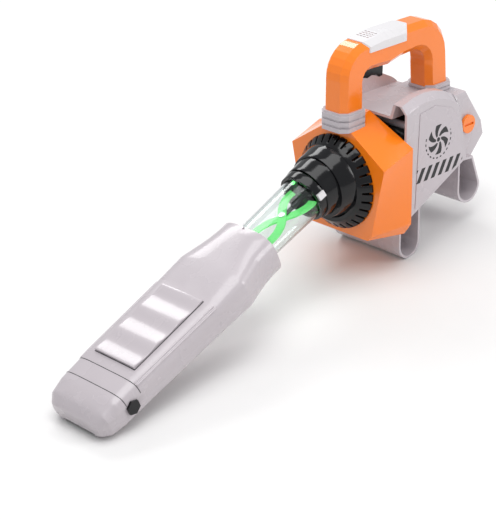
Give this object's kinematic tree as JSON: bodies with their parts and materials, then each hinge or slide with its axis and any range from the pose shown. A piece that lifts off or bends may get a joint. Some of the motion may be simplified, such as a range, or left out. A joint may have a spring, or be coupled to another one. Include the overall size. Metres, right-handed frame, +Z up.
{
  "type": "toy leaf blower bubble machine",
  "caption": "Battery toy blower with loop handle and trigger, round ribbed collar, clear tube with spinning vanes and a flat outlet nozzle, standing on two loop feet.",
  "frame": {"origin": "centre of the footprint, on the surface that the front foot and the nozzle tip stand on", "axes": "+Z up, -Y toward the nozzle's outlet, which slopes down to the floor, +X to the side seen in the reference view"},
  "size_m": [0.116, 0.5076, 0.2147],
  "materials": {
    "orange_plastic": "glossy moulded plastic",
    "grey_plastic": "glossy moulded plastic",
    "black_plastic": "glossy moulded plastic",
    "dark_plastic": "satin moulded plastic",
    "inner_plastic": "satin moulded plastic",
    "silver_grey_plastic": "glossy moulded plastic",
    "clear_plastic": "clear polished",
    "green_vane": "translucent tinted",
    "green_led": "emissive clear dome",
    "steel": "plated",
    "cell_wrap": null,
    "nickel": "plated",
    "board": "circuit board",
    "label_print": null,
    "brass_pin": "bright"
  },
  "bodies": {
    "chassis": {"front_collar": "orange_plastic", "body_shell_right": "grey_plastic", "body_shell_left": "grey_plastic", "side_label_right": "label_print", "side_label_left": "label_print", "rear_housing": "grey_plastic", "door_pin": "steel", "battery_cells": "cell_wrap", "battery_contacts": "nickel", "battery_tray": "dark_plastic", "handle_top_panel": "silver_grey_plastic", "handle_shell_right": "orange_plastic", "handle_shell_left": "orange_plastic", "front_handle_bezel": "grey_plastic", "rear_handle_bezel": "grey_plastic", "trigger_pin": "steel", "trigger_spring": "steel", "switch_carrier": "inner_plastic", "microswitch": "dark_plastic", "speaker": "dark_plastic", "front_foot": "grey_plastic", "rear_foot": "grey_plastic", "ribbed_ring": "black_plastic", "stepped_cone": "black_plastic", "tube_lock_tab": "silver_grey_plastic", "clear_tube": "clear_plastic", "rotor_bearing": "dark_plastic", "led_board": "board", "green_leds": "green_led", "nozzle_upper": "grey_plastic", "nozzle_lower": "grey_plastic", "nozzle_screws": "steel", "nozzle_grip": "grey_plastic", "nozzle_plugs": "black_plastic", "fan_duct": "dark_plastic", "motor_mount": "inner_plastic", "motor_can": "steel", "motor_bolts": "steel", "circuit_board": "board", "shell_screws": "steel"},
    "trigger": {"trigger": "black_plastic"},
    "switch_plunger": {"switch_plunger": "dark_plastic"},
    "fan_rotor": {"impeller": "dark_plastic", "motor_shaft": "steel"},
    "vane_rotor": {"vane_a": "green_vane", "vane_b": "green_vane", "vane_rivet": "steel", "rotor_rod": "dark_plastic"},
    "right_dial": {"dial_right": "orange_plastic"},
    "left_dial": {"dial_left": "orange_plastic"},
    "battery_door": {"battery_door": "grey_plastic", "door_screw": "steel"}
  },
  "joints": [
    {"name": "trigger_pull", "type": "hinge", "parent": "chassis", "child": "trigger", "pos_m": [0, 0.1236, 0.19287], "axis": [1, 0, 0], "range_deg": [0, 9], "stiffness_Nm_per_rad": 0.6, "springref_deg": -14.32, "deforming": ["trigger_spring"]},
    {"name": "plunger_slide", "type": "slide", "parent": "chassis", "child": "switch_plunger", "axis": [0, 0.1288, 0.9917], "range_m": [0, 0.0024]},
    {"name": "fan_spin", "type": "hinge", "parent": "chassis", "child": "fan_rotor", "pos_m": [0, 0.12922, 0.08474], "axis": [0, -0.9917, 0.1288], "continuous": true},
    {"name": "vane_spin", "type": "hinge", "parent": "chassis", "child": "vane_rotor", "pos_m": [0, 0.02369, 0.08923], "axis": [0, -0.9632, -0.2689], "continuous": true},
    {"name": "right_dial_turn", "type": "hinge", "parent": "chassis", "child": "right_dial", "pos_m": [0.031, 0.22924, 0.09394], "axis": [1, 0, 0], "range_deg": [0, 90]},
    {"name": "left_dial_turn", "type": "hinge", "parent": "chassis", "child": "left_dial", "pos_m": [-0.031, 0.22924, 0.09394], "axis": [1, 0, 0], "range_deg": [0, 90]},
    {"name": "battery_door_swing", "type": "hinge", "parent": "chassis", "child": "battery_door", "pos_m": [0, 0.19994, 0.06683], "axis": [1, 0, 0], "range_deg": [0, 55]}
  ],
  "couplings": [
    {"joint": "plunger_slide", "follows": "trigger_pull", "m_per_rad": 0.013369}
  ]
}
